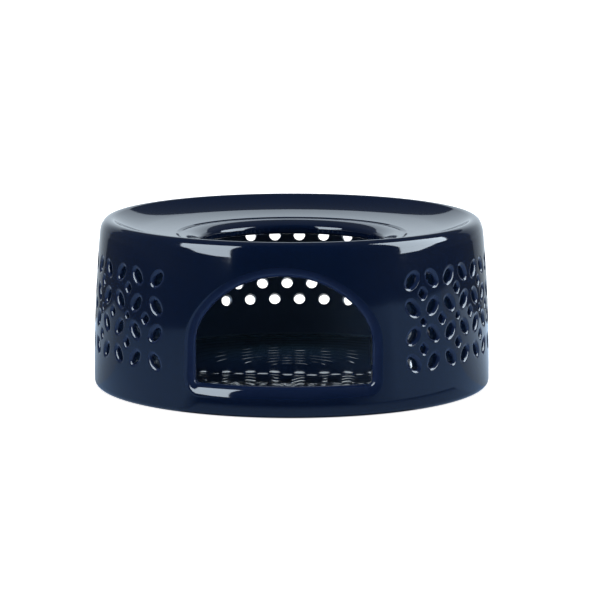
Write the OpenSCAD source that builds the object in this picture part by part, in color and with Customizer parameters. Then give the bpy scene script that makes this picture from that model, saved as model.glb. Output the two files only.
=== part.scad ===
// Teapot warmer: a round glazed stoneware stand with a pierced wall, an arched
// mouth for the candle, a dished top with a heat opening, and the tealight inside.
// The arch faces -Y, the table is at z = 0 and the body's axis is Z.

/* [Body] */
// Widest diameter of the body, just above the foot
body_d = 140; // [124:1:170]
// Overall height, from the table to the crest of the rim
body_h = 58.5; // [52:0.5:76]
// Thickness of the wall
wall_t = 4; // [3:0.25:5]
// Inward lean of the wall from foot to shoulder, in degrees
wall_lean = 2.3; // [0:0.1:4]
// Rounding between the foot and the wall
foot_round = 2.25; // [1.5:0.25:4.5]

/* [Floor] */
// Height of the chamber floor above the table
floor_h = 5.6; // [5:0.1:8]
// Depth of the hollow under the floor
hollow_depth = 1.2; // [0.6:0.1:2]
// Width of the flat foot ring that stands on the table
foot_ring_w = 8; // [5:0.5:14]

/* [Dish] */
// Depth of the teapot seat below the crest of the rim
dish_depth = 5.5; // [4.6:0.1:8]
// Width of the flat teapot seat, outside the step
seat_w = 5; // [3:0.5:7]
// Thickness of the dish plate
plate_t = 4.2; // [3.4:0.1:6]
// Diameter of the shallow step around the heat opening
step_d = 80; // [72:1:90]
// Depth of that step
step_depth = 1.2; // [0.6:0.1:1.6]
// Diameter of the heat opening
heat_d = 64; // [50:1:70]
// Rounding of the upper edge of the heat opening
heat_round = 1.4; // [0.6:0.1:1.6]
// Rounding of the shoulder, outside the crest
shoulder_round = 4.4; // [3:0.1:4.6]
// Rounding of the crest, on the dish side
crest_round = 3; // [2:0.1:4]

/* [Arched mouth] */
// Clear width of the mouth
arch_w = 59; // [52:0.2:66]
// Height of the sill above the chamber floor
sill_rise = 4.8; // [3:0.1:7]
// Rise of the arch above its upright sides
arch_rise = 23.5; // [21:0.5:25]
// Radius of the haunches, where the sides turn into the arch
haunch_r = 17; // [12:0.5:18]
// Wall left between the top of the mouth and the dish plate
arch_head = 1.6; // [1:0.1:4]

/* [Side panels] */
// Columns of petals in the right panel
right_cols = 14; // [6:1:14]
// Columns of petals in the left panel
left_cols = 13; // [5:2:13]
// Angle from the middle of the mouth to the right panel's first column
right_from = 38.9; // [36:0.1:41]
// Angle from the middle of the mouth to the left panel's first column
left_from = 39.4; // [36:0.1:41]
// Angle between neighbouring columns of the right panel
right_step = 7.5; // [7.2:0.1:8]
// Angle between neighbouring columns of the left panel
left_step = 8.4; // [7.6:0.1:8.6]
// Rows of petals
petal_rows = 4; // [2:1:4]
// Height between neighbouring rows of petals
petal_rise = 9.3; // [9:0.1:11]
// Height from the middle of the top row to the dish plate
petal_head = 4.8; // [4:0.1:6]
// Length of a petal
petal_l = 5.2; // [4.8:0.1:6.6]
// Width of a petal
petal_w = 2.9; // [2.4:0.1:3.4]
// Lean of a petal from upright, in degrees
petal_lean = 40; // [30:1:45]
// Width of the diamonds between flanking petals
diamond_w = 2.8; // [2:0.1:3.2]
// Height of the diamonds between flanking petals
diamond_h = 3.6; // [2.4:0.1:4]
// Width of the diamonds between petal tips
tip_diamond_w = 2.2; // [1.4:0.1:2.4]
// Height of the diamonds between petal tips
tip_diamond_h = 2.8; // [1.8:0.1:3]

/* [Back air holes] */
// Diameter of an air hole
air_d = 4.2; // [3.4:0.1:5]
// Angle between neighbouring air holes
air_step = 8; // [7:0.1:10]
// Rows of air holes
air_rows = 5; // [2:1:5]
// Height between rows of air holes
air_rise = 6; // [5.6:0.1:7.5]
// Height from the middle of the top row to the dish plate
air_head = 6.2; // [4:0.1:8]

/* [Tealight] */
// Diameter of the aluminium cup
cup_d = 36.6; // [34:0.1:39]
// Height of the cup
cup_h = 15; // [12:0.5:18]
// Thickness of the cup's sheet
cup_t = 0.4; // [0.3:0.05:0.6]
// Overhang of the rolled lip
lip_w = 0.4; // [0.3:0.05:0.8]
// Height of the rolled lip
lip_h = 0.9; // [0.6:0.1:1.4]
// Bevel around the bottom of the cup
cup_bevel = 1.2; // [0.6:0.1:2]
// Height of the wax body
wax_h = 11.6; // [9:0.1:14]
// Diameter of the wick
wick_d = 2; // [1.4:0.1:2.4]
// Length of wick above the wax
wick_free = 6.5; // [4:0.5:9]
// Diameter of the sustainer's disc
sustainer_d = 14; // [10:0.5:18]
// Thickness of the sustainer's sheet
sustainer_t = 0.4; // [0.3:0.05:0.6]
// Height of the sustainer's crimped neck
neck_h = 3; // [2:0.1:5]

/* [Fits] */
// Room between the parked tealight and the wall
park_gap = 0.3; // [0.3:0.1:2]
// Room under the tealight
stand_gap = 0.1; // [0.05:0.05:0.3]
// Room between the wax and the cup
wax_gap = 0.3; // [0.2:0.05:0.5]
// Room around the wick and the sustainer in the wax
wick_gap = 0.1; // [0.05:0.05:0.2]

/* [Hidden] */
$fn = 96;
hole_fn = 32;
arc_steps = 9;
past = 1;
glaze = "#0b1730";
aluminium = "#c9ccd0";
wax_white = "#f1ece0";
cotton = "#e8e2d2";
tin = "#a9a9a6";

// Levels
body_r = body_d / 2;
dish_z = body_h - dish_depth;
step_z = dish_z - step_depth;
wall_top = dish_z - plate_t;
sill_z = floor_h + sill_rise;
head_z = wall_top - arch_head;
spring_z = head_z - arch_rise;

// Wall faces: the outside leans in from where the foot's rounding ends
foot_r = body_r - foot_round;
function out_r(z) = foot_r + (foot_round - (z - foot_round) * sin(wall_lean)) / cos(wall_lean);
function in_r(z) = out_r(z) - wall_t;
hollow_r = foot_r - foot_ring_w;

// Rim: the shoulder's arc is tangent to the wall, and the crest's to the shoulder's top.
// A cove tangent to the crest and to the seat runs over the seam between plate and ring
shoulder_z = body_h - shoulder_round;
crest_r = out_r(shoulder_z) - shoulder_round / cos(wall_lean);
crest_z = body_h - crest_round;
seat_r = step_d / 2 + seat_w;
rim_slope = 2 * atan(dish_depth / (crest_r - seat_r));
cove_r = (crest_r - seat_r) / sin(rim_slope) - crest_round;
cove_z = dish_z + cove_r;
plate_slope = rim_slope / 2;
plate_r = seat_r + cove_r * sin(plate_slope);

// Mouth: a basket arch, with two haunch arcs and a flatter crown arc tangent to both
arch_half = arch_w / 2;
haunch_x = arch_half - haunch_r;
crown_drop = (pow(haunch_x, 2) - pow(arch_rise - haunch_r, 2)) / (2 * (arch_rise - haunch_r));
crown_r = arch_rise + crown_drop;
crown_reach = 1 + (arch_rise + past) / crown_drop;

// Side panels, cut by hand and so spaced a little differently on the two sides
left_last = 360 - left_from - (left_cols - 1) * left_step;
petal_top = wall_top - petal_head;
middle_row = floor((petal_rows - 2) / 2);
tip_trim = 0.9;
lens_l = petal_l + 2 * tip_trim;
lens_r = (pow(lens_l, 2) + pow(petal_w, 2)) / (4 * petal_w);

// Back air holes fill the outline of the mouth opposite, and a margin around it
air_top = wall_top - air_head;
air_margin = 7.6;
function arch_half_at(z) =
    z <= spring_z ? arch_half : arch_half * sqrt(max(0, 1 - pow((z - spring_z) / arch_rise, 2)));
function air_reach(z) = asin((arch_half_at(z) + air_margin) / out_r(z));

// Tealight, parked beside the wall on +X
cup_r = cup_d / 2;
lip_r = cup_r + lip_w;
stand_z = floor_h + stand_gap;
park_x = in_r(stand_z + cup_h) - lip_r - park_gap;
wax_r = cup_r - cup_t - wax_gap;
wax_z = cup_t;
wax_top = wax_z + wax_h;
wick_r = wick_d / 2;
wick_z = wax_z + sustainer_t;
neck_r = wick_r + wick_gap + sustainer_t;
neck_top = wick_z + neck_h;

// Points of an arc in the profile plane, from one angle to another
function arc(r, z, round, from, to) =
    [for (i = [0 : arc_steps])
        let (a = from + (to - from) * i / arc_steps)
        [r + round * cos(a), z + round * sin(a)]];

// A straight cut through the wall at one angle and height, seen from outside
module through_wall(angle, z) {
    rotate([0, 0, angle])
        translate([0, -in_r(z) + wall_t, z])
            rotate([90, 0, 0])
                linear_extrude(3 * wall_t)
                    children();
}

// Outline of a petal: two arcs with blunt tips
module petal_outline() {
    intersection() {
        translate([lens_r - petal_w / 2, 0])
            circle(lens_r, $fn = hole_fn);
        translate([petal_w / 2 - lens_r, 0])
            circle(lens_r, $fn = hole_fn);
        circle(petal_l / 2, $fn = hole_fn);
    }
}

module diamond_outline(w, h) {
    polygon([[0, h / 2], [-w / 2, 0], [0, -h / 2], [w / 2, 0]]);
}

// One side panel: petals lean both ways by turns, with diamonds in the cells between them
module panel_cuts(first, step, cols) {
    for (i = [0 : cols - 1], j = [0 : petal_rows - 1])
        through_wall(first + i * step, petal_top - j * petal_rise)
            rotate((i + j) % 2 == 0 ? -petal_lean : petal_lean)
                petal_outline();
    for (i = [0 : cols - 2], j = [0 : petal_rows - 2])
        through_wall(first + (i + 0.5) * step, petal_top - (j + 0.5) * petal_rise)
            if ((i + j) % 2 == 0)
                diamond_outline(diamond_w, diamond_h);
            else if (j == middle_row)
                diamond_outline(tip_diamond_w, tip_diamond_h);
}

// Staggered rows of round holes, odd rows with one on the back's middle
module air_cuts() {
    for (j = [0 : air_rows - 1]) {
        z = air_top - j * air_rise;
        shift = (j % 2) * air_step / 2;
        reach = floor((air_reach(z) - shift) / air_step);
        for (k = [-reach - (j % 2) : reach])
            through_wall(180 + shift + k * air_step, z)
                circle(air_d / 2, $fn = hole_fn);
    }
}

module arch_outline() {
    translate([-arch_half, sill_z])
        square([arch_w, spring_z - sill_z]);
    for (side = [-1, 1])
        translate([side * haunch_x, spring_z])
            intersection() {
                circle(haunch_r);
                translate([-haunch_r, 0])
                    square([2 * haunch_r, haunch_r]);
            }
    intersection() {
        translate([0, spring_z - crown_drop])
            circle(crown_r);
        translate([0, spring_z - crown_drop])
            polygon([[0, 0],
                [haunch_x * crown_reach, crown_drop * crown_reach],
                [-haunch_x * crown_reach, crown_drop * crown_reach]]);
    }
}

module arch_cut() {
    translate([0, -body_r / 2, 0])
        rotate([90, 0, 0])
            linear_extrude(body_r / 2 + past)
                arch_outline();
}

// Floor disc, hollowed underneath so that it stands on a ring
module base_disc() {
    color(glaze)
        rotate_extrude()
            polygon(concat(
                [[0, hollow_depth], [hollow_r - hollow_depth, hollow_depth], [hollow_r, 0]],
                arc(foot_r, foot_round, foot_round, -90, wall_lean),
                [[out_r(floor_h), floor_h], [0, floor_h]]));
}

// Leaning wall with the mouth, the pierced panels and the air holes
module pierced_wall() {
    color(glaze)
        difference() {
            rotate_extrude()
                polygon([[in_r(floor_h), floor_h], [out_r(floor_h), floor_h],
                    [out_r(wall_top), wall_top], [in_r(wall_top), wall_top]]);
            arch_cut();
            panel_cuts(right_from, right_step, right_cols);
            panel_cuts(left_last, left_step, left_cols);
            air_cuts();
        }
}

// Plate that carries the teapot, let into the rim ring and stepped down to the heat opening
module dish_plate() {
    color(glaze)
        rotate_extrude()
            polygon(concat(
                [[heat_d / 2, wall_top], [plate_r, wall_top]],
                arc(seat_r, cove_z, cove_r, plate_slope - 90, -90),
                [[step_d / 2, dish_z], [step_d / 2, step_z]],
                arc(heat_d / 2 + heat_round, step_z - heat_round, heat_round, 90, 180)));
}

// Ring on top of the wall: shoulder, crest and the upper cove that keeps the teapot on the plate
module rim_ring() {
    color(glaze)
        rotate_extrude()
            polygon(concat(
                [[plate_r, wall_top], [out_r(wall_top), wall_top]],
                arc(crest_r, shoulder_z, shoulder_round, wall_lean, 90),
                arc(crest_r, crest_z, crest_round, 90 + rim_slope / arc_steps, 90 + rim_slope),
                arc(seat_r, cove_z, cove_r, rim_slope - 90 - plate_slope / arc_steps, plate_slope - 90)));
}

// Places a piece of the tealight at its parking place
module parked() {
    translate([park_x, 0, stand_z])
        children();
}

module tealight_cup() {
    color(aluminium)
        parked()
            rotate_extrude()
                polygon([[0, 0], [cup_r - cup_bevel, 0], [cup_r, cup_bevel],
                    [cup_r, cup_h - lip_h], [lip_r, cup_h - lip_h], [lip_r, cup_h],
                    [cup_r - cup_t, cup_h], [cup_r - cup_t, cup_bevel + cup_t],
                    [cup_r - cup_bevel - cup_t, cup_t], [0, cup_t]]);
}

// Wax body, bevelled to the cup and bored for the wick and its sustainer
module tealight_wax() {
    color(wax_white)
        parked()
            rotate_extrude()
                polygon([[wick_r + wick_gap, neck_top + wick_gap],
                    [neck_r + wick_gap, neck_top + wick_gap],
                    [neck_r + wick_gap, wick_z + wick_gap],
                    [sustainer_d / 2 + wick_gap, wick_z + wick_gap],
                    [sustainer_d / 2 + wick_gap, wax_z],
                    [wax_r - cup_bevel - wax_gap, wax_z], [wax_r, wax_z + cup_bevel + wax_gap],
                    [wax_r, wax_top], [wick_r + wick_gap, wax_top]]);
}

module tealight_wick() {
    color(cotton)
        parked()
            translate([0, 0, wick_z])
                cylinder(h = wax_top + wick_free - wick_z, r = wick_r);
}

// Tinned disc with a crimped neck that holds the wick upright
module wick_sustainer() {
    color(tin)
        parked()
            rotate_extrude()
                polygon([[0, wax_z], [sustainer_d / 2, wax_z], [sustainer_d / 2, wick_z],
                    [neck_r, wick_z], [neck_r, neck_top],
                    [wick_r + wick_gap, neck_top], [wick_r + wick_gap, wick_z], [0, wick_z]]);
}

base_disc();
pierced_wall();
dish_plate();
rim_ring();
tealight_cup();
tealight_wax();
tealight_wick();
wick_sustainer();
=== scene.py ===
import math

import bpy
import numpy as np
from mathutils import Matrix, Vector
from mathutils.geometry import delaunay_2d_cdt


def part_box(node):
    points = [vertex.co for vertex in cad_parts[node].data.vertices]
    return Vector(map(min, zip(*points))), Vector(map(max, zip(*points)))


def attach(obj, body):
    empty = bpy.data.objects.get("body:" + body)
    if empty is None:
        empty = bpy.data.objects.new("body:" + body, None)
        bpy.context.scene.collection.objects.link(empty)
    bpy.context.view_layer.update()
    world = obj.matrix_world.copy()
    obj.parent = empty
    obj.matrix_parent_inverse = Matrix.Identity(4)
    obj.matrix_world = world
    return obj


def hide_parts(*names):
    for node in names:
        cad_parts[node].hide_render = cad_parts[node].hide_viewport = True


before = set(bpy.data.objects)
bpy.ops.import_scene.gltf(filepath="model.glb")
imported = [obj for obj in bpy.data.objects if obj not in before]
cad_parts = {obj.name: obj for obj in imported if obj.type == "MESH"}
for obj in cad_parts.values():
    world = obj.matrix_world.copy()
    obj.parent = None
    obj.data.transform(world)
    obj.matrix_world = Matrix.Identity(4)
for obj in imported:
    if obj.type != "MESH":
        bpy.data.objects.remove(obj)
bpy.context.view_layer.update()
mm = 0.001
print("frame loaded:", ", ".join(sorted(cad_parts)))


# shader graphs: a wire is an output socket, and sums on wires add Math nodes

class Wire:
    def __init__(self, graph, socket):
        self.graph = graph
        self.socket = socket

    def maths(self, operation, *terms):
        return self.graph.node("ShaderNodeMath", {"operation": operation}, dict(enumerate(terms)))

    def __add__(self, other):
        return self.maths("ADD", self, other)

    def __rsub__(self, other):
        return self.maths("SUBTRACT", other, self)

    def __mul__(self, other):
        return self.maths("MULTIPLY", self, other)

    __radd__ = __add__
    __rmul__ = __mul__

    def clamped(self):
        return self.graph.node("ShaderNodeClamp", {}, {"Value": self})


class Graph:
    def __init__(self, owner):
        owner.use_nodes = True
        self.owner = owner
        self.tree = owner.node_tree
        self.tree.nodes.clear()

    # any node: its type, its settings, then the values or wires of its sockets
    def node(self, kind, settings=None, sockets=None, out=0):
        made = self.tree.nodes.new(kind)
        for key, value in (settings or {}).items():
            setattr(made, key, value)
        for key, value in (sockets or {}).items():
            if isinstance(value, Wire):
                self.tree.links.new(value.socket, made.inputs[key])
            else:
                made.inputs[key].default_value = value
        return Wire(self, made.outputs[out]) if made.outputs else made

    def place(self):
        return self.node("ShaderNodeTexCoord", out="Object")

    def noise(self, scale, detail=2.0, place=None):
        return self.node("ShaderNodeTexNoise", {}, {
            "Vector": place or self.place(), "Scale": scale, "Detail": detail})

    def mark(self, name):
        return self.node("ShaderNodeAttribute", {"attribute_name": name}, out="Fac")

    def blend(self, factor, first, second):
        colours = [c if isinstance(c, Wire) else (*c, 1.0) for c in (first, second)]
        return self.node("ShaderNodeMix", {"data_type": "RGBA"}, {
            "Factor": factor, 6: colours[0], 7: colours[1]}, out=2)

    def bump(self, height, strength, distance):
        return self.node("ShaderNodeBump", {}, {
            "Height": height, "Strength": strength, "Distance": distance})

    def principled(self, sockets):
        shader = self.node("ShaderNodeBsdfPrincipled", {}, sockets)
        self.node("ShaderNodeOutputMaterial", {}, {"Surface": shader})
        return self.owner


# meshes: a shell gathers the points, normals and faces of one piece, in millimetres

class Shell:
    def __init__(self):
        self.points = []
        self.normals = []
        self.marks = {"lip": [], "bare": [], "pooled": [], "dry": []}
        self.faces = []

    def add(self, points, normals, **marks):
        first = len(self.points)
        self.points.extend(map(tuple, points))
        self.normals.extend(map(tuple, normals))
        for mark, values in self.marks.items():
            values.extend(np.broadcast_to(marks.get(mark, 0.0), len(points)))
        return list(range(first, len(self.points)))

    # faces between two rings; a ring of one point is a tip on the axis
    def strip(self, low, high):
        count = max(len(low), len(high))
        for i in range(count):
            k = (i + 1) % count
            if len(low) == 1:
                self.faces.append((low[0], high[k], high[i]))
            elif len(high) == 1:
                self.faces.append((low[i], low[k], high[0]))
            else:
                self.faces.append((low[i], low[k], high[k], high[i]))

    def build(self, name, material, ownNormals=True):
        mesh = bpy.data.meshes.new(name)
        mesh.from_pydata([Vector(p) * mm for p in self.points], [], self.faces)
        for mark, values in self.marks.items():
            if any(values):
                mesh.attributes.new(mark, "FLOAT", "POINT").data.foreach_set("value", values)
        mesh.shade_smooth()
        if ownNormals:
            mesh.normals_split_custom_set_from_vertices(self.normals)
        mesh.materials.append(material)
        piece = bpy.data.objects.new(name, mesh)
        bpy.context.scene.collection.objects.link(piece)
        print(name, "has", len(self.faces), "faces")
        return piece


def span(node):
    low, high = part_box(node)
    return low / mm, high / mm


def unit(vectors):
    return vectors / np.linalg.norm(vectors, axis=-1, keepdims=True)


# a turned section: corners (radius, height, rounding) become rows (radius, height, normal);
# the clay lies to the left of the way along the corners
def softRows(corners, finest=0.45, widest=math.radians(11)):
    places = [np.array(c[:2], float) for c in corners]
    ways = [unit(b - a) for a, b in zip(places, places[1:])]
    outs = [np.array((w[1], -w[0])) for w in ways]
    rows = [(places[0], outs[0])]
    for i in range(1, len(corners) - 1):
        rounding = corners[i][2]
        turn = math.atan2(np.cross(ways[i - 1], ways[i]), ways[i - 1] @ ways[i])
        start = places[i] - ways[i - 1] * rounding * math.tan(abs(turn) / 2)
        side = math.copysign(rounding, turn)
        steps = math.ceil(max(rounding * abs(turn) / finest, abs(turn) / widest))
        for k in range(steps + 1):
            part = math.sin(turn * k / steps) / math.sin(turn)
            rest = math.sin(turn * (1 - k / steps)) / math.sin(turn)
            out = unit(outs[i - 1] * rest + outs[i] * part)
            rows.append((start + side * (out - outs[i - 1]), out))
    rows.append((places[-1], outs[-1]))
    kept = rows[:1]
    for row in rows[1:]:
        if np.linalg.norm(row[0] - kept[-1][0]) > 1e-4:
            kept.append(row)
    return kept


# turns rows about an upright axis; the wave pushes points in or out by angle and row
def revolve(shell, rows, angles, closed=False, axis=(0.0, 0.0), bareUnder=None, wave=None, **marks):
    sines, cosines = np.sin(angles), np.cos(angles)
    rings = []
    for (r, z), (outR, outZ) in rows:
        bare = 1.0 if bareUnder is not None and z < bareUnder and outZ < -0.95 else 0.0
        if r < 1e-6:
            rings.append(shell.add([(*axis, z)], [(0, 0, math.copysign(1, outZ))], bare=bare, **marks))
            continue
        reach = r + (wave(angles, r, z) if wave else np.zeros(len(angles)))
        level, tilt = np.full(len(angles), z), np.full(len(angles), outZ)
        points = np.column_stack((axis[0] + reach * sines, axis[1] - reach * cosines, level))
        normals = np.column_stack((outR * sines, -outR * cosines, tilt))
        rings.append(shell.add(points, normals, bare=bare, **marks))
    for low, high in zip(rings, rings[1:] + rings[:1] if closed else rings[1:]):
        shell.strip(low, high)
    return rings


# the stoneware body: levels come from the frame, the roundings are the glazed ones
floorTop = span("base_disc")[1].z
plateUnder = span("dish_plate")[0].z
crestLevel = span("rim_ring")[1].z
bodyRadius = span("base_disc")[1].x
dishRadius = span("dish_plate")[1].x

body = {
    "steps": 240,                   # steps round the body
    "firstAngle": math.radians(31.5),  # a plain stretch of wall beside the mouth
    "lean": math.radians(2.3),
    "swell": -0.15,                 # the wall's slight belly: how far out, at which height,
    "swellLevel": 26.0,
    "swellFall": 0.00092,           # and how fast it falls away, per square millimetre
    "wall": 4.0,
    "footRound": 1.9,
    "lowSeam": floorTop - 1.2,      # where the foot and the wall were luted together
    "highSeam": 51.6,               # where the wall and the rim were luted together
    "cove": 0.5,                    # glaze fillet between floor and wall
    "underCove": 0.3,               # and between wall and dish plate
}
bodyAngles = body["firstAngle"] + np.arange(body["steps"]) * 2 * math.pi / body["steps"]


def outer(z):
    rise = (z - body["footRound"]) * math.sin(body["lean"])
    straight = bodyRadius - body["footRound"] + (body["footRound"] - rise) / math.cos(body["lean"])
    return straight + body["swell"] - body["swellFall"] * (z - body["swellLevel"]) ** 2


def leanAt(z):
    return np.arctan(math.tan(body["lean"]) + 2 * body["swellFall"] * (z - body["swellLevel"]))


def inner(z):
    return outer(z) - body["wall"]


innerLow = floorTop + body["cove"] + 0.2
innerHigh = plateUnder - body["underCove"]


def navyGlaze():
    look = {
        "deep": (0.0016, 0.0060, 0.0230),
        "light": (0.0022, 0.0076, 0.0280),
        "glazeBreakAndHighlight": (0.0220, 0.0420, 0.1250),  # where the glaze breaks over an edge, partly a painted highlight on the rounded edges
        "pooled": (0.0440, 0.0980, 0.1450),  # painted light: a paler, bluer colour towards the back of the floor and in the cove, where the inside lies in shade
        "dry": (0.0140, 0.0480, 0.1150),   # and rougher on the inside, with a paler colour there that is painted light
        "clay": (0.42, 0.36, 0.30),
        "speck": (0.20, 0.16, 0.13),
        "gloss": 0.045,
    }
    graph = Graph(bpy.data.materials.new("navy_glaze"))
    place = graph.place()
    pool = graph.noise(55, 4.0, place)
    peel = graph.noise(240, 2.0, place)
    grain = graph.noise(1500, 3.0, place)
    bare = graph.mark("bare")
    # the lip mark blends in the lighter edge colour: partly a glaze break, partly a painted highlight on
    # the rounded edges
    edge = (graph.mark("lip") * (0.55 + 0.9 * pool)).clamped()
    plain = graph.blend(pool, look["deep"], look["light"])
    # the inside is rougher, and painted paler: painted light on the shaded inside
    dry = graph.mark("dry")
    # painted light: the back of the floor and the cove are painted paler
    within = graph.blend(graph.mark("pooled"), graph.blend(dry, plain, look["dry"]), look["pooled"])
    glaze = graph.blend(edge, within, look["glazeBreakAndHighlight"])
    clay = graph.blend(grain, look["clay"], look["speck"])
    height = peel * (1 - bare) + grain * bare * 6
    return graph.principled({
        "Base Color": graph.blend(bare, glaze, clay),
        "Roughness": look["gloss"] + 0.03 * pool + 0.5 * dry + bare * (0.6 + 0.2 * grain),
        "IOR": 1.5,
        "Normal": graph.bump(height, 0.25, 0.00002)})


glaze = navyGlaze()

# the floor and foot: a disc turned with a foot ring and faint throwing rings on the floor
foot = {
    "hollow": 1.2,
    "ring": 8.0,
    "ringEdge": 0.6,
    "bareUnder": 0.9,               # the wiped, unglazed part of the foot ring
    "crest": -15.0,                 # the floor is highest on a line across its front,
    "backFall": (0.45, 23.0),       # falls from there to the back: by how much, and how far along,
    "frontRise": (0.055, 3.0, 2.0),  # swells towards the mouth: slope, from how far ahead, how softly,
    "frontWave": (0.06, 7.6),       # and was wiped there in uneven waves
    "frontWild": ((0.47, 1.3, 2.2), (1.1, 0.4, 1.2), (0.17, 2.0, 2.0)),
    "rings": (0.075, 0.42, 5.2),    # throwing rings behind that: height, width and pitch,
    "ringsFrom": (-4.0, 14.0),      # and from where to where they grow
    "wander": ((0.11, 1.0, 0.9), (0.23, 0.3, 0.6), (0.51, 2.2, 0.3)),
    "fade": 7.0,
    "pooled": (-35.0, 65.0, 3.5),   # painted light, paler towards the back of the floor: from the front, to the back, and how steeply it grows
    "dull": (0.03, -16.0, -22.0),   # and how dull the floor gets towards the mouth, also painted a little paler
}


def floorLevel(x, y, edge):
    r = np.hypot(x, y)
    wander = sum(reach * np.sin(turn * x + phase) for turn, phase, reach in foot["wander"])
    ahead = y + wander - foot["crest"]
    fall, reach = foot["backFall"]
    back = fall * (0.5 - 0.5 * np.cos(math.pi * np.clip(ahead / reach, 0, 1)))
    near = np.minimum(ahead, 0)
    slope, begin, ease = foot["frontRise"]
    up = np.clip(-near - begin, 0, 20)
    rise = slope * up ** 2 / (up + ease)
    wild = sum(reach * np.sin(turn * x + phase) for turn, phase, reach in foot["frontWild"])
    wave, pitch = foot["frontWave"]
    turn = 2 * math.pi * near / pitch + wild * np.clip(-near / 5 - 0.6, 0, 1)
    front = wave * (0.5 - 0.5 * np.cos(turn))
    ring, width, ringPitch = foot["rings"]
    start, end = foot["ringsFrom"]
    ridge = np.mod(r + 0.3 * wander, ringPitch) - ringPitch / 2
    rings = ring * np.clip((y - start) / (end - start), 0, 1) * (1 - np.exp(-(ridge / width) ** 2))
    share = np.clip((edge - r) / foot["fade"], 0, 1)
    return floorTop + (rise - back - front - rings) * share * share * (3 - 2 * share)


def makeFloor(shell, ring, edge, step=0.05):
    for r in (*np.arange(edge - 0.6, 0.6, -0.35), 0.0):
        angles = bodyAngles if r else bodyAngles[:1]
        x, y = r * np.sin(angles), -r * np.cos(angles)
        right = (floorLevel(x + step, y, edge) - floorLevel(x - step, y, edge)) / (2 * step)
        away = (floorLevel(x, y + step, edge) - floorLevel(x, y - step, edge)) / (2 * step)
        normals = unit(np.column_stack((-right, -away, np.ones(len(x)))))
        # painted light grows towards the back of the floor; the floor also gets duller towards the mouth
        front, rear, power = foot["pooled"]
        pooled = np.clip((y - front) / (rear - front), 0, 1) ** power
        most, start, end = foot["dull"]
        dull = most * np.clip((y - start) / (end - start), 0, 1)
        points = np.column_stack((x, y, floorLevel(x, y, edge)))
        inward = shell.add(points, normals, pooled=pooled, dry=dull)
        shell.strip(ring, inward)
        ring = inward


def makeFoot():
    shell = Shell()
    ringInner = bodyRadius - body["footRound"] - foot["ring"]
    below = softRows([
        (0, foot["hollow"]),
        (ringInner - foot["hollow"], foot["hollow"], foot["ringEdge"]),
        (ringInner, 0, foot["ringEdge"]),
        (outer(0), 0, body["footRound"]),
        (outer(body["lowSeam"]), body["lowSeam"])])
    cove = softRows([
        (inner(innerLow), innerLow),
        (inner(floorTop), floorTop, body["cove"]),
        (inner(floorTop) - 2 * body["cove"], floorTop)])
    under = revolve(shell, below, bodyAngles, bareUnder=foot["bareUnder"])
    # the cove: rougher, and painted paler as painted light
    above = revolve(shell, cove, bodyAngles, dry=1.0, pooled=0.35)
    shell.strip(under[-1], above[0])
    makeFloor(shell, above[-1], cove[-1][0][0])
    return shell.build("glazed_foot", glaze)


# the wall: holes are cut straight through it, and the glaze rounds their edges
def traceArcs(arcs, spacing, widest=math.radians(30)):
    # arcs are (centre u, centre v, radius, first angle, last angle), joined by straight lines
    trace = []
    ends = []
    for u, v, radius, first, last in arcs:
        steps = math.ceil(max(radius * (last - first) / spacing, (last - first) / widest))
        angles = np.linspace(first, last, steps + 1)
        ends.append([(u + radius * math.cos(a), v + radius * math.sin(a), math.cos(a), math.sin(a))
                     for a in angles])
    for points, after in zip(ends, ends[1:] + ends[:1]):
        trace.extend(points)
        here, there = np.array(points[-1]), np.array(after[0])
        steps = round(np.linalg.norm(there[:2] - here[:2]) / spacing)
        trace.extend(here + (there - here) * k / steps for k in range(1, steps))
    trace = np.array(trace, float)
    gaps = np.linalg.norm(trace[:, :2] - np.roll(trace[:, :2], 1, axis=0), axis=1)
    return trace[gaps > 1e-3]


def petalTrace(length, width, tip, turn):
    half, reach = width / 2, length / 2 - tip
    big = (half ** 2 + reach ** 2 - tip ** 2) / (2 * (half - tip))
    swing = math.atan2(reach, big - half)
    arcs = [
        (half - big, 0, big, -swing, swing),
        (0, reach, tip, swing, math.pi - swing),
        (big - half, 0, big, math.pi - swing, math.pi + swing),
        (0, -reach, tip, math.pi + swing, 2 * math.pi - swing)]
    c, s = math.cos(turn), math.sin(turn)
    spin = np.array(((c, s), (-s, c)))
    trace = traceArcs(arcs, 0.75)
    return np.hstack((trace[:, :2] @ spin, trace[:, 2:] @ spin))


def diamondTrace(width, height, corner):
    side = math.atan2(width, height)    # turn of a side's normal above the level
    u = width / 2 - corner / math.cos(side)
    v = height / 2 - corner / math.sin(side)
    arcs = []
    for k, centre in enumerate(((u, 0), (0, v), (-u, 0), (0, -v))):
        middle = k * math.pi / 2
        swing = side if k % 2 == 0 else math.pi / 2 - side
        arcs.append((*centre, corner, middle - swing, middle + swing))
    return traceArcs(arcs, 0.6)


def archTrace(width, sill, spring, head, haunch, corner):
    half, rise = width / 2, head - spring
    x = half - haunch
    drop = (x ** 2 - (rise - haunch) ** 2) / (2 * (rise - haunch))
    swing = math.atan2(drop, x)
    right = math.pi
    arcs = [
        (half - corner, sill + corner, corner, -right / 2, 0),
        (x, spring, haunch, 0, swing),
        (0, spring - drop, rise + drop, swing, right - swing),
        (-x, spring, haunch, right - swing, right),
        (corner - half, sill + corner, corner, right, 1.5 * right)]
    return traceArcs(arcs, 1.6, math.radians(18))


# the glaze break and painted highlight on each hole's rounded edge and along its cut
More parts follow.
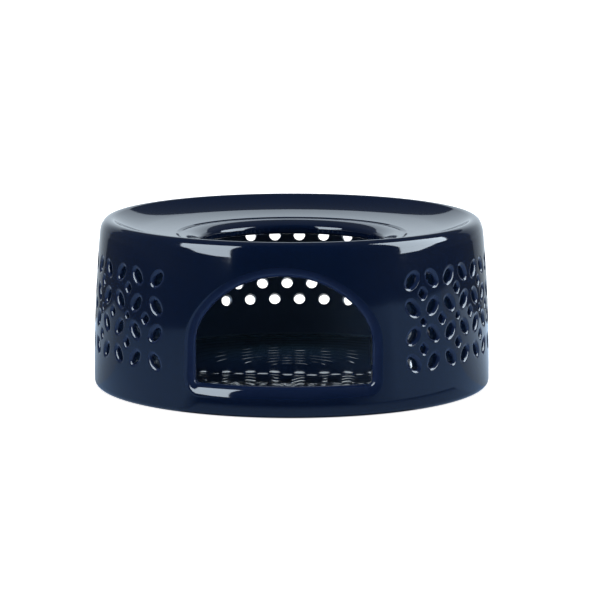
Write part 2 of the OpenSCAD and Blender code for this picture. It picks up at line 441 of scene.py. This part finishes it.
arch = {"width": 59.0, "sill": 10.4, "spring": 23.7, "head": 47.2, "haunch": 17.0, "corner": 1.4,
        "lip": (4.8, 3.2, 0.75), "innerLip": (0.6, 0.6), "steps": 12, "soft": 0.95, "glazeBreakAndHighlight": (0.34, 1.7),
        "lowBreakAndHighlight": 0.35}                # less glaze break and painted highlight over the sill
panel = {"rows": 4, "rise": 9.3, "head": 4.8,
         "right": (38.9, 7.5, 14),       # first column and step in degrees, and the number of columns
         "left": (39.4, 8.4, 13),
         "length": 5.2, "width": 2.9, "tip": 1.0, "lean": math.radians(40),
         "diamond": (2.8, 3.6), "tipDiamond": (2.2, 2.8), "corner": 0.55,
         "lip": (1.7, 0.95, 1.0, 0.6), "diamondLip": (1.3, 0.85, 1.0, 0.7), "tipLip": (0.8, 0.6),
         "innerLip": (0.4, 0.4), "steps": 7, "soft": 1.15, "glazeBreakAndHighlight": (0.31, 0.17)}
air = {"width": 4.2, "step": math.radians(8), "rows": 5, "rise": 6.0, "head": 6.2, "margin": 7.6,
       "lip": (0.9, 2.6), "innerLip": (0.25, 0.25), "steps": 6, "slant": 0.9}


def hole(angle, height, trace, shape, lip=None):
    return {"angle": angle, "height": height, "trace": trace, "lip": lip or shape["lip"],
            "innerLip": shape["innerLip"], "steps": shape["steps"], "slant": shape.get("slant", 0.0),
            "soft": shape.get("soft", 0.78), "glazeBreakAndHighlight": shape.get("glazeBreakAndHighlight", (0.08, 0.48)),
            "lowBreakAndHighlight": shape.get("lowBreakAndHighlight", 1.0)}


def panelHoles(first, step, columns):
    top = plateUnder - panel["head"]
    petals = [petalTrace(panel["length"], panel["width"], panel["tip"], lean)
              for lean in (-panel["lean"], panel["lean"])]
    cell = diamondTrace(*panel["diamond"], panel["corner"])
    tips = diamondTrace(*panel["tipDiamond"], panel["corner"])
    made = []
    for i in range(columns):
        for j in range(panel["rows"]):
            made.append(hole(first + i * step, top - j * panel["rise"], petals[(i + j) % 2], panel))
    for i in range(columns - 1):
        for j in range(panel["rows"] - 1):
            place = (first + (i + 0.5) * step, top - (j + 0.5) * panel["rise"])
            if (i + j) % 2 == 0:
                made.append(hole(*place, cell, panel, panel["diamondLip"]))
            elif j == 1:
                made.append(hole(*place, tips, panel, panel["tipLip"]))
    return made


def airHoles():
    trace = traceArcs([(0, 0, air["width"] / 2, 0, 2 * math.pi)], 0.62)
    made = []
    for j in range(air["rows"]):
        z = plateUnder - air["head"] - j * air["rise"]
        above = max(0.0, (z - arch["spring"]) / (arch["head"] - arch["spring"]))
        half = arch["width"] / 2 * math.sqrt(1 - above ** 2) + air["margin"]
        shift = (j % 2) * air["step"] / 2
        reach = math.floor((math.asin(half / outer(z)) - shift) / air["step"])
        for k in range(-reach - j % 2, reach + 1):
            made.append(hole(math.pi + shift + k * air["step"], z, trace, air))
    return made


def wallHoles():
    mouth = archTrace(*(arch[key] for key in ("width", "sill", "spring", "head", "haunch", "corner")))
    (right, rightStep, rightCount), (left, leftStep, leftCount) = panel["right"], panel["left"]
    last = 360 - left - (leftCount - 1) * leftStep
    return ([hole(2 * math.pi, 0, mouth, arch)]
            + panelHoles(math.radians(right), math.radians(rightStep), rightCount)
            + panelHoles(math.radians(last), math.radians(leftStep), leftCount)
            + airHoles())


# one face of the wall: its radius at a height, and which way it looks
def onFace(angles, z, face):
    radius = outer(z) if face > 0 else inner(z)
    level = face * np.cos(leanAt(z))
    points = np.column_stack((radius * np.sin(angles), -radius * np.cos(angles), z))
    normals = np.column_stack((level * np.sin(angles), -level * np.cos(angles), face * np.sin(leanAt(z))))
    return points, normals


# rings of one rounded edge, from the wall's face (first) down into the cut (last); a lip is its reach,
# its depth and the shares of its reach that are left over the top of the hole and under its bottom
def edgeRings(cut, face, lip, steps):
    reach, depth, over, below = (*lip, 1.0, 1.0)[:4]
    soft = cut["soft"]
    u, v, outU, outV = cut["trace"].T
    reach = reach * np.where(outV > 0, 1 - (1 - over) * outV, 1 + (1 - below) * outV)[:, None]
    across = np.array((math.cos(cut["angle"]), math.sin(cut["angle"]), 0))
    z = cut["height"] + v - face * cut["slant"] / 2
    radius = outer(z) if face > 0 else inner(z)
    corner, facing = onFace(cut["angle"] + np.arcsin(u / radius), z, face)
    away = outU[:, None] * across + outV[:, None] * np.array((0, 0, 1.0))
    along = unit(np.cross(facing, away))
    flat = unit(np.cross(along, facing))
    flat *= np.sign(np.sum(flat * away, axis=1, keepdims=True))
    deep = unit(np.cross(along, away))
    deep *= -np.sign(np.sum(deep * facing, axis=1, keepdims=True))
    start = corner + reach * flat
    landed, landedOut = onFace(np.arctan2(start[:, 0], -start[:, 1]), start[:, 2], face)
    rings = []
    for k in range(steps + 1):
        t = (k / steps) ** 2 * (3 - 2 * k / steps)
        sine, cosine = math.sin(t * math.pi / 2), max(0.0, math.cos(t * math.pi / 2))
        points = corner + flat * reach * (1 - sine ** soft) + deep * depth * (1 - cosine ** soft)
        out = unit(np.cross(along, deep * depth * sine ** (2 - soft) - flat * reach * cosine ** (2 - soft)))
        out *= np.sign(np.sum(out * (facing - away), axis=1, keepdims=True))
        rings.append((points + (1 - t) * (landed - start), unit(out + (1 - t) * (landedOut - facing)), t))
    return rings


# cuts a hole: gives back the ring on the outside and the ring on the inside
def cutHole(shell, cut):
    outside = edgeRings(cut, 1, cut["lip"], cut["steps"])
    inside = edgeRings(cut, -1, cut["innerLip"], 3)
    downward = np.clip(-cut["trace"][:, 3], 0, 1)
    rings = []
    for points, normals, t in outside:
        # glaze break and painted highlight: strongest over the rounding and along the cut, weaker towards
        # the sill
        glazeBreakAndHighlight = cut["glazeBreakAndHighlight"][0] * math.sin(math.pi * t) + cut["glazeBreakAndHighlight"][1] * t ** 5
        fade = 1 - (1 - cut["lowBreakAndHighlight"]) * downward
        rings.append(shell.add(points, normals, lip=np.minimum(1.0, glazeBreakAndHighlight * fade)))
    # the inner edge: rougher, and painted paler as painted light
    for points, normals, t in reversed(inside):
        rings.append(shell.add(points, normals, dry=1.0))
    for low, high in zip(rings, rings[1:]):
        shell.strip(low, high)
    return rings[0], rings[-1]


def insideRing(ring, points):
    # counts how often a level line from each point crosses the ring
    x, y = points[:, :1], points[:, 1:]
    startX, startY = ring.T
    endX, endY = np.roll(ring, -1, axis=0).T
    spans = (startY > y) != (endY > y)
    rise = np.where(endY == startY, 1.0, endY - startY)
    crossed = spans & (x < startX + (y - startY) * (endX - startX) / rise)
    return np.sum(crossed, axis=1) % 2 == 1


# fills one face of the wall between its two seam rings and round its holes
def faceOfWall(shell, face, low, high, rings, pitch=1.8, clear=0.75):
    # the inside face: rougher, and painted paler as painted light
    marks = {} if face > 0 else {"dry": 1.0}
    unroll = outer(30.0)
    first = body["firstAngle"]
    whole = 2 * math.pi

    def flatten(indices):
        spots = np.array([shell.points[i] for i in indices])
        angles = first + np.mod(np.arctan2(spots[:, 0], -spots[:, 1]) - first, whole)
        return np.column_stack((angles * unroll, spots[:, 2]))

    ends = np.append(bodyAngles, first + whole)
    edges, spots, owners = [], [], []

    def chain(places, indices, closed):
        start = len(spots)
        spots.extend(map(tuple, places))
        owners.extend(indices)
        count = len(indices)
        for k in range(count if closed else count - 1):
            edges.append((start + k, start + (k + 1) % count))

    bottom, top = shell.points[low[0]][2], shell.points[high[0]][2]
    levels = np.linspace(bottom, top, round((top - bottom) / pitch) + 1)[1:-1]
    chain([(a * unroll, bottom) for a in ends], low + low[:1], False)
    chain([(a * unroll, top) for a in ends], high + high[:1], False)
    side = shell.add(*onFace(np.full(len(levels), first), levels, face), **marks)
    for angle in (first, first + whole):
        places = [(angle * unroll, z) for z in (bottom, *levels, top)]
        start = len(spots)
        spots.extend(places[1:-1])
        owners.extend(side)
        last = 0 if angle == first else len(ends) - 1
        run = [last, *range(start, start + len(side)), len(ends) + last]
        edges.extend(zip(run, run[1:]))

    grid = np.array([(first + (i + 0.5 * (k % 2)) * whole / body["steps"], z)
                     for k, z in enumerate(levels) for i in range(1, body["steps"])])
    grid[:, 0] *= unroll
    outlines = []
    for ring in rings:
        outline = flatten(ring)
        outlines.append((len(spots), len(spots) + len(ring), outline))
        chain(outline, ring, True)
        near = np.max(np.abs(outline - outline.mean(axis=0))) + 2 * clear
        close = np.max(np.abs(grid - outline.mean(axis=0)), axis=1) < near
        blocked = np.zeros(len(grid), bool)
        gaps = np.linalg.norm(grid[close][:, None] - outline[None], axis=2).min(axis=1)
        blocked[close] = insideRing(outline, grid[close]) | (gaps < clear)
        grid = grid[~blocked]
    own = shell.add(*onFace(grid[:, 0] / unroll, grid[:, 1], face), **marks)
    spots.extend(map(tuple, grid))
    owners.extend(own)

    found = delaunay_2d_cdt([Vector(s) for s in spots], edges, [], 0, 1e-6, True)
    triangles, origins = found[2], found[3]
    if any(not o for o in origins):
        raise ValueError("rounded edges of two holes cross")
    ringOf = np.full(len(spots), -1)
    for number, (start, end, outline) in enumerate(outlines):
        ringOf[start:end] = number
    for triangle in triangles:
        corners = [origins[k][0] for k in triangle]
        number = ringOf[corners[0]]
        if number >= 0 and all(ringOf[c] == number for c in corners):
            middle = np.mean([spots[c] for c in corners], axis=0)
            if insideRing(outlines[number][2], middle[None])[0]:
                continue
        picked = [owners[c] for c in corners]
        shell.faces.append(tuple(picked if face > 0 else picked[::-1]))


def makeWall():
    shell = Shell()
    full = np.ones(body["steps"])
    outLow = shell.add(*onFace(bodyAngles, full * body["lowSeam"], 1))
    outHigh = shell.add(*onFace(bodyAngles, full * body["highSeam"], 1))
    # the inside seam rings: rougher, and painted paler as painted light
    inHigh = shell.add(*onFace(bodyAngles, full * innerHigh, -1), dry=1.0)
    inLow = shell.add(*onFace(bodyAngles, full * innerLow, -1), dry=1.0)
    shell.strip(outHigh, inHigh)
    shell.strip(inLow, outLow)
    cuts = [cutHole(shell, cut) for cut in wallHoles()]
    faceOfWall(shell, 1, outLow, outHigh, [c[0] for c in cuts])
    faceOfWall(shell, -1, inLow, inHigh, [c[1] for c in cuts])
    return shell.build("glazed_wall", glaze)


# the rim and the dish plate: from the crest the shoulder tilts down outside and the bowl inside
rim = {"shoulder": ((50, 2.9), (76, 4.6)),              # tilt in degrees, and the rounding up to it
       "shoulderEnd": 14.0,                             # the rounding up to the wall's own tilt
       "bowl": ((32.7, 3.0), (8.74, 26.9), (3.07, 110.0))}
dish = {"step": 40.0, "stepDeep": 0.35, "stepRun": 1.0, "stepEdge": 0.5, "stepCove": 0.6,
        "heat": 32.0, "roll": ((25, 14.0), (90, 1.8)),  # the edge rolls over into the heat opening
        "rollUnder": 1.0, "rollWidth": 3.0, "underEdge": 0.9}


# corners of a line that starts level and tilts down by turns, and where it gets to
def tiltedCorners(place, side, turns):
    corners = []
    place, tilt = np.array(place, float), 0.0
    for degrees, rounding in turns:
        reach = rounding * math.tan(abs(math.radians(degrees) - tilt) / 2)
        corner = place + reach * np.array((side * math.cos(tilt), -math.sin(tilt)))
        tilt = math.radians(degrees)
        place = corner + reach * np.array((side * math.cos(tilt), -math.sin(tilt)))
        corners.append((*corner, rounding))
    return corners, place, tilt


def shoulderTurns():
    low = tiltedCorners((0, crestLevel), 1, rim["shoulder"])[1][1]
    for k in range(3):
        turns = (*rim["shoulder"], (90 - math.degrees(leanAt(low)), rim["shoulderEnd"]))
        out, low = tiltedCorners((0, crestLevel), 1, turns)[1]
    return turns, outer(low) - out


# rows of the whole top, from the wall over the crest to the heat opening, parted at the plate's edge
def topRows():
    turns, crest = shoulderTurns()
    shoulder = tiltedCorners((crest, crestLevel), 1, turns)[0]
    bowl, (r, z), tilt = tiltedCorners((crest, crestLevel), -1, rim["bowl"])
    edge = z - (r - dish["step"]) * math.tan(tilt)
    stepLevel = edge - dish["stepDeep"]
    half = dish["stepRun"] / 2
    run = tiltedCorners((0, 0), 1, dish["roll"])[1][0]
    roll = tiltedCorners((dish["heat"] + run, stepLevel), -1, dish["roll"])[0]
    under, back = plateUnder - dish["rollUnder"], dish["heat"] + dish["rollWidth"]
    rows = softRows([
        (outer(body["highSeam"]), body["highSeam"]),
        *reversed(shoulder),
        *bowl,
        (dish["step"] + half, edge, dish["stepEdge"]),
        (dish["step"] - half, stepLevel, dish["stepCove"]),
        *roll,
        (dish["heat"], under, dish["underEdge"]),
        (back, under, dish["underEdge"]),
        (back + 2 * dish["rollUnder"], plateUnder, dish["underEdge"]),
        (dishRadius, plateUnder)])
    part = next(i for i, row in enumerate(rows) if row[0][0] < dishRadius)
    before, after = rows[part - 1], rows[part]
    share = (before[0][0] - dishRadius) / (before[0][0] - after[0][0])
    seam = tuple(a + (b - a) * share for a, b in zip(before, after))
    return rows[:part] + [seam], [seam] + rows[part:]


rimRows, dishRows = topRows()


def makeRim():
    shell = Shell()
    below = softRows([
        (dishRadius, plateUnder),
        (inner(plateUnder), plateUnder, body["underCove"]),
        (inner(innerHigh), innerHigh)])
    revolve(shell, rimRows + below, bodyAngles, closed=True)
    return shell.build("glazed_rim", glaze)


def makeDish():
    shell = Shell()
    revolve(shell, dishRows, bodyAngles, closed=True)
    return shell.build("glazed_dish", glaze)


stoneware = {
    "base_disc": makeFoot(),
    "pierced_wall": makeWall(),
    "dish_plate": makeDish(),
    "rim_ring": makeRim(),
}
for node, piece in stoneware.items():
    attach(piece, "warmer")
    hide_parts(node)
print("stoneware done")


# the tealight, parked beside the wall
cupLow, cupHigh = span("tealight_cup")
cupAxis = ((cupLow.x + cupHigh.x) / 2, (cupLow.y + cupHigh.y) / 2)
cup = {"sheet": 0.4, "lipOver": 0.4, "lipHigh": 0.9, "round": 1.5, "pressed": 0.3, "pressRadius": 13.5,
       "flutes": 64, "fluteDeep": 0.10, "steps": 512}


def cupSheet():
    graph = Graph(bpy.data.materials.new("cup_sheet"))
    place = graph.place()
    drawn = graph.node("ShaderNodeMapping", {}, {"Vector": place, "Scale": (900, 900, 60)})
    streak = graph.noise(1.0, 2.0, drawn)
    smear = graph.noise(90, 2.0, place)
    return graph.principled({
        "Base Color": graph.blend(smear, (0.70, 0.71, 0.72), (0.82, 0.82, 0.83)),
        "Metallic": 1.0,
        "Roughness": 0.20 + 0.16 * streak + 0.08 * smear,
        "Normal": graph.bump(streak, 0.2, 0.00003)})


def makeCup():
    shell = Shell()
    radius = cupHigh.x - cupAxis[0] - cup["lipOver"]
    bottom, top = cupLow.z, cupHigh.z
    inside = radius - cup["sheet"]
    rows = softRows([
        (0, bottom + cup["pressed"]),
        (cup["pressRadius"], bottom + cup["pressed"], 0.4),
        (cup["pressRadius"] + 0.8, bottom, 0.4),
        (radius, bottom, cup["round"]),
        (radius, top - cup["lipHigh"], 0.2),
        (radius + cup["lipOver"], top - cup["lipHigh"], 0.25),
        (radius + cup["lipOver"], top, 0.44),
        (inside, top, 0.4),
        (inside, bottom + cup["sheet"], cup["round"]),
        (cup["pressRadius"] + 0.8, bottom + cup["sheet"], 0.3),
        (cup["pressRadius"], bottom + cup["sheet"] + cup["pressed"], 0.3),
        (0, bottom + cup["sheet"] + cup["pressed"])])
    fluteLow, fluteHigh = bottom + cup["round"] + 0.3, top - cup["lipHigh"] - 0.6

    def flutes(angles, r, z):
        if r < inside - 0.1:
            return np.zeros(len(angles))
        fade = min(1.0, max(0.0, min(z - fluteLow, fluteHigh - z)) / 1.5)
        return -cup["fluteDeep"] * fade * (0.5 - 0.5 * np.cos(cup["flutes"] * angles))

    tall = []
    for a, b in zip(rows, rows[1:]):
        tall.append(a)
        steps = int(abs(b[0][1] - a[0][1]) / 1.0)
        tall.extend((a[0] + (b[0] - a[0]) * k / (steps + 1), a[1]) for k in range(1, steps + 1))
    tall.append(rows[-1])
    angles = np.arange(cup["steps"]) * 2 * math.pi / cup["steps"]
    revolve(shell, tall, angles, axis=cupAxis, wave=flutes)
    return shell.build("tealight_cup_shell", cupSheet(), ownNormals=False)


cupPiece = makeCup()
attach(cupPiece, "tealight")
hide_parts("tealight_cup")

waxLow, waxHigh = span("tealight_wax")
wickLow, wickHigh = span("tealight_wick")
sustainHigh = span("wick_sustainer")[1]
wax = {"bevel": 1.5, "gap": 0.1, "sheet": 0.4, "sink": 0.35, "edge": 0.3, "collar": 0.5}


def paraffin():
    graph = Graph(bpy.data.materials.new("wax"))
    place = graph.place()
    cloud = graph.noise(220, 4.0, place)
    fine = graph.noise(1400, 2.0, place)
    return graph.principled({
        "Base Color": graph.blend(cloud, (0.86, 0.83, 0.75), (0.78, 0.74, 0.65)),
        "Roughness": 0.34 + 0.2 * cloud,
        "IOR": 1.44,
        "Subsurface Weight": 0.35,
        "Subsurface Radius": (1.0, 0.8, 0.6),
        "Subsurface Scale": 0.002,
        "Normal": graph.bump(cloud + 0.3 * fine, 0.25, 0.0001)})


def makeWax():
    shell = Shell()
    radius = waxHigh.x - cupAxis[0]
    wickRadius = wickHigh.x - cupAxis[0]
    disc = sustainHigh.x - cupAxis[0]
    neck = wickRadius + wax["gap"] + wax["sheet"]
    discTop = waxLow.z + wax["sheet"]
    bore, gap = wickRadius + wax["gap"], wax["gap"]
    top = waxHigh.z
    low = softRows([
        (bore, sustainHigh.z + gap),
        (neck + gap, sustainHigh.z + gap, 0.05),
        (neck + gap, discTop + gap, 0.05),
        (disc + gap, discTop + gap, 0.05),
        (disc + gap, waxLow.z, 0.05),
        (radius - wax["bevel"], waxLow.z, 0.3),
        (radius, waxLow.z + wax["bevel"], 0.3),
        (radius, top - wax["edge"])])
    rows = []
    for share in np.linspace(1, 0, 26):
        r = bore + (radius - wax["edge"] * 0.5 - bore) * share
        rise = share ** 8 + wax["collar"] / wax["sink"] * math.exp(-((r - bore) / 1.1) ** 2)
        rows.append((np.array((r, top - wax["sink"] * (1 - min(1.0, rise)))), np.array((0.0, 1.0))))
    angles = np.arange(128) * 2 * math.pi / 128
    revolve(shell, low + rows, angles, closed=True, axis=cupAxis)
    return shell.build("wax_body", paraffin(), ownNormals=False)


waxPiece = makeWax()
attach(waxPiece, "candle")
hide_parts("tealight_wax")

wick = {"strands": 3, "strandRadius": 0.46, "pitch": 6.0, "sides": 10, "step": 0.25, "bend": 0.5,
        "dome": 0.35}


def cottonYarn():
    graph = Graph(bpy.data.materials.new("cotton"))
    place = graph.place()
    lay = graph.node("ShaderNodeMapping", {}, {"Vector": place, "Scale": (5200, 5200, 1500)})
    fibre = graph.noise(1.0, 3.0, lay)
    waxed = graph.noise(500, 2.0, place)
    return graph.principled({
        "Base Color": graph.blend(fibre, (0.80, 0.77, 0.68), (0.62, 0.58, 0.48)),
        "Roughness": 0.55 + 0.3 * waxed,
        "Sheen Weight": 0.15,
        "Normal": graph.bump(fibre, 0.5, 0.00008)})


def makeWick():
    shell = Shell()
    bottom, top = wickLow.z, wickHigh.z
    radius = wickHigh.x - cupAxis[0]
    offset = radius - wick["strandRadius"] - 0.04
    sides = np.arange(wick["sides"]) * 2 * math.pi / wick["sides"]
    levels = np.arange(bottom, top - wick["dome"], wick["step"])
    free = top - waxHigh.z
    for strand in range(wick["strands"]):
        rings = []
        for z in levels:
            turn = 2 * math.pi * (z / wick["pitch"] + strand / wick["strands"])
            lean = wick["bend"] * max(0.0, (z - waxHigh.z) / free) ** 2
            centre = (cupAxis[0] + offset * math.sin(turn) - lean, cupAxis[1] - offset * math.cos(turn))
            ends = min(1.0, 0.55 + (levels[-1] - z) / wick["dome"])
            reach = wick["strandRadius"] * ends
            points = [(centre[0] + reach * math.sin(a), centre[1] - reach * math.cos(a), z) for a in sides]
            rings.append(shell.add(points, [(math.sin(a), -math.cos(a), 0) for a in sides]))
        lowTip = shell.add([np.mean([shell.points[i] for i in rings[0]], axis=0)], [(0, 0, -1)])
        tip = np.mean([shell.points[i] for i in rings[-1]], axis=0)
        highTip = shell.add([(tip[0], tip[1], top)], [(0, 0, 1)])
        for low, high in zip([lowTip] + rings, rings + [highTip]):
            shell.strip(low, high)
    return shell.build("wick_yarn", cottonYarn(), ownNormals=False)


wickPiece = makeWick()
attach(wickPiece, "candle")
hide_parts("tealight_wick")


def tinplate():
    graph = Graph(bpy.data.materials.new("tinplate"))
    place = graph.place()
    spangle = graph.node("ShaderNodeTexVoronoi", {}, {"Vector": place, "Scale": 700.0}, out="Distance")
    rub = graph.noise(900, 3.0, place)
    return graph.principled({
        "Base Color": graph.blend(spangle, (0.55, 0.55, 0.54), (0.68, 0.68, 0.66)),
        "Metallic": 1.0,
        "Roughness": 0.28 + 0.22 * rub,
        "Normal": graph.bump(rub, 0.2, 0.00005)})


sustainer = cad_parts["wick_sustainer"]
sustainer.data.materials.clear()
sustainer.data.materials.append(tinplate())
print("tealight done")


# camera at the photograph's angle
shot = {"azimuth": math.radians(2.5), "distance": 1156.0, "height": 215.5, "aimAcross": 2.9,
        "aimHeight": 28.92, "lens": 200.0}


def makeCamera():
    data = bpy.data.cameras.new("studio_camera")
    data.lens = shot["lens"]
    data.sensor_width = 36.0
    data.clip_end = 50.0
    camera = bpy.data.objects.new("studio_camera", data)
    bpy.context.scene.collection.objects.link(camera)
    side = Vector((math.cos(shot["azimuth"]), math.sin(shot["azimuth"]), 0))
    back = Vector((math.sin(shot["azimuth"]), -math.cos(shot["azimuth"]), 0))
    place = (back * shot["distance"] + Vector((0, 0, shot["height"]))) * mm
    aim = (side * shot["aimAcross"] + Vector((0, 0, shot["aimHeight"]))) * mm
    camera.location = place
    camera.rotation_euler = (aim - place).to_track_quat("-Z", "Y").to_euler()
    bpy.context.scene.camera = camera


makeCamera()

# studio: a white ground and backdrop, dark flags round the object that leave a window at the back,
# grey mats beside it and two softboxes; flags, mats and softboxes are seen only in the gloss
studio = {
    "groundSize": 8.0,
    "groundGlow": 0.80,
    "groundColour": (0.86, 0.86, 0.86),
    "ambient": 0.55,
    "flagRadius": 1500.0,
    "flagTop": 1500.0,
    "windowTop": 760.0,
    "windowFrom": 134,              # degrees from the front, on both sides
    "windowFull": 164,
    "flagGlow": (0.02, 0.10),       # in front, and beside the object
    "tableGlow": (0.03, 0.07),
    "frontTo": 30,                  # degrees from the front
    "besideFrom": 75,
    "softboxGlow": 10.0,
    "softboxAway": 900.0,
    "cool": (0.87, 1.0, 1.11),      # the tint of what the gloss shows,
    "matTint": (0.66, 1.0, 1.55),   # of the mats,
    "backTint": (0.78, 1.0, 1.28),  # and of their far ends
}


# what camera and gloss see of the white surroundings, and the colour that they see there
def seenWhite(graph):
    rays = graph.node("ShaderNodeLightPath").socket.node.outputs
    camera, glossy, through = (Wire(graph, rays["Is %s Ray" % kind])
                               for kind in ("Camera", "Glossy", "Transmission"))
    return (camera + glossy + through).clamped(), graph.blend(glossy, (1, 1, 1), studio["cool"])


def makeWorld():
    world = bpy.data.worlds.new("studio_world")
    bpy.context.scene.world = world
    graph = Graph(world)
    seen, colour = seenWhite(graph)
    shader = graph.node("ShaderNodeBackground", {}, {
        "Color": colour, "Strength": seen + (1 - seen) * studio["ambient"]})
    graph.node("ShaderNodeOutputWorld", {}, {"Surface": shader})


def makeGround():
    graph = Graph(bpy.data.materials.new("studio_ground"))
    seen, colour = seenWhite(graph)
    glow = graph.node("ShaderNodeEmission", {}, {"Color": colour, "Strength": seen * studio["groundGlow"]})
    matt = graph.node("ShaderNodeBsdfDiffuse", {}, {"Color": (*studio["groundColour"], 1)})
    both = graph.node("ShaderNodeAddShader", {}, {0: glow, 1: matt})
    graph.node("ShaderNodeOutputMaterial", {}, {"Surface": both})
    half = studio["groundSize"] / 2
    mesh = bpy.data.meshes.new("studio_ground")
    corners = [(-half, -half, 0), (half, -half, 0), (half, half, 0), (-half, half, 0)]
    mesh.from_pydata(corners, [], [(0, 1, 2, 3)])
    mesh.materials.append(graph.owner)
    ground = bpy.data.objects.new("studio_ground", mesh)
    ground.location.z = -0.0002
    bpy.context.scene.collection.objects.link(ground)


# a card that only the gloss sees: faces of corners in millimetres, each with its glow
def makeCard(name, faces, tint=studio["cool"]):
    graph = Graph(bpy.data.materials.new(name))
    colour = graph.node("ShaderNodeVectorMath", {"operation": "SCALE"}, {
        0: tint, "Scale": graph.mark("glow")})
    shader = graph.node("ShaderNodeEmission", {}, {"Color": colour})
    graph.node("ShaderNodeOutputMaterial", {}, {"Surface": shader})
    corners = [corner for face in faces for corner in face]
    starts = np.cumsum([0] + [len(face) for face in faces])
    runs = [range(a, b) for a, b in zip(starts, starts[1:])]
    mesh = bpy.data.meshes.new(name)
    mesh.from_pydata([Vector(c[:3]) * mm for c in corners], [], runs)
    mesh.attributes.new("glow", "FLOAT", "POINT").data.foreach_set("value", [c[3] for c in corners])
    mesh.materials.append(graph.owner)
    card = bpy.data.objects.new(name, mesh)
    bpy.context.scene.collection.objects.link(card)
    card.visible_camera = False
    card.visible_diffuse = False
    card.visible_transmission = False
    card.visible_shadow = False


# a place by its direction from the object: degrees from the front, degrees up, and distance
def polar(azimuth, elevation, distance):
    a, e = math.radians(azimuth), math.radians(elevation)
    level = distance * math.cos(e)
    return (level * math.sin(a), -level * math.cos(a), distance * math.sin(e))


def darkGlow(azimuth, glows):
    aside = (abs(azimuth) - studio["frontTo"]) / (studio["besideFrom"] - studio["frontTo"])
    return glows[0] + (glows[1] - glows[0]) * min(1.0, max(0.0, aside))


def windowGlow(azimuth, glows):
    past = (abs(azimuth) - studio["windowFrom"]) / (studio["windowFull"] - studio["windowFrom"])
    return darkGlow(azimuth, glows) if past <= 0 else 0.3 + 0.7 * min(1.0, past)


def makeFlags():
    walls, table = [], []
    radius, top, middle = studio["flagRadius"], studio["flagTop"], studio["windowTop"]
    for first in range(-180, 180, 2):
        rims = [(polar(a, 0, radius), windowGlow(b, studio["flagGlow"]), windowGlow(b, studio["tableGlow"]))
                for a, b in ((first, first + 0.01), (first + 2, first + 1.99))]
        (low, glow, mat), (lowNext, glowNext, matNext) = rims
        dark, darkNext = (darkGlow(a, studio["flagGlow"]) for a in (first, first + 2))
        if abs(first + 1) < studio["windowFull"]:
            walls.append([(*low[:2], 0, glow), (*lowNext[:2], 0, glowNext),
                          (*lowNext[:2], middle, glowNext), (*low[:2], middle, glow)])
            table.append([(0, 0, 0.2, mat), (*low[:2], 0.2, mat), (*lowNext[:2], 0.2, matNext)])
        walls.append([(*low[:2], middle, dark), (*lowNext[:2], middle, darkNext),
                      (*lowNext[:2], top, darkNext), (*low[:2], top, dark)])
        walls.append([(*low[:2], top, dark), (*lowNext[:2], top, darkNext), (0, 0, top, dark)])
    makeCard("dark_flags", walls)
    makeCard("dark_table", table)


def makeSoftbox(name, corners):
    away, glow = studio["softboxAway"], studio["softboxGlow"]
    makeCard(name, [[(*polar(azimuth, elevation, away), glow) for azimuth, elevation in corners]])


# a mat on the table: rows of places from near to far, each with its glow
def makeMat(name, rows, tint="matTint", level=0.4):
    places = [[(x, y, level, glow) for x, y, glow in row] for row in rows]
    makeCard(name, [(a, b, d, c) for first, second in zip(places, places[1:])
                    for a, b, c, d in zip(first, first[1:], second, second[1:])], studio[tint])


def makeLamp(name, place, size, energy):
    data = bpy.data.lights.new(name, "AREA")
    data.shape = "RECTANGLE"
    data.size, data.size_y = size
    data.energy = energy
    lamp = bpy.data.objects.new(name, data)
    lamp.location = place
    lamp.rotation_euler = (-Vector(place)).to_track_quat("-Z", "Y").to_euler()
    lamp.visible_glossy = False
    bpy.context.scene.collection.objects.link(lamp)


makeWorld()
makeGround()
makeFlags()
makeMat("left_mat", [
    [(-30, -64, 0.06), (-62, -88, 0.06), (-264, -530, 0.06)],
    [(-36, -58, 0.42), (-66, -80, 0.42), (-300, -480, 0.44)],
    [(-36, -20, 0.36), (-130, 0, 0.32), (-300, 40, 0.28)]])
makeMat("left_mat_back", [
    [(-36, -20, 0.36), (-130, 0, 0.32), (-300, 40, 0.28)],
    [(-36, 130, 1.3), (-130, 130, 0.8), (-300, 130, 0.30)]], "backTint")
makeMat("foot_mat", [
    [(*polar(a, 0, r)[:2], glow) for a in range(-30, 71, 5)]
    for r, glow in ((69, 0.38), (82, 0.34), (88, 0.06))], level=0.6)
makeMat("right_mat", [
    [(18, -66, 0.06), (34, -84, 0.06), (400, -640, 0.06)],
    [(30, -64, 0.25), (62, -84, 0.26), (540, -500, 0.27)],
    [(44, -54, 0.44), (84, -76, 0.45), (640, -380, 0.48)],
    [(44, -15, 0.44), (130, 0, 0.42), (590, 40, 0.42)]])
makeMat("right_mat_back", [
    [(44, -15, 0.44), (130, 0, 0.42), (590, 40, 0.42)],
    [(44, 130, 1.6), (130, 130, 1.2), (590, 130, 0.45)]], "backTint")
makeSoftbox("left_softbox", [(-32, 4.8), (-42, 6.5), (-53, 11), (-66, 24), (-79, 45), (-38, 57)])
makeSoftbox("right_softbox", [(67, 4.2), (80, 6), (93, 12), (107, 18), (117, 35), (72, 59)])
makeLamp("overhead_lamp", (0.0, -0.2, 1.6), (0.7, 0.7), 12.0)
makeLamp("left_lamp", (-1.4, 0.0, 0.5), (0.6, 0.8), 5.0)
makeLamp("right_lamp", (1.4, 0.0, 0.5), (0.6, 0.8), 5.0)
bpy.context.scene.view_settings.view_transform = "Standard"
print("studio done")
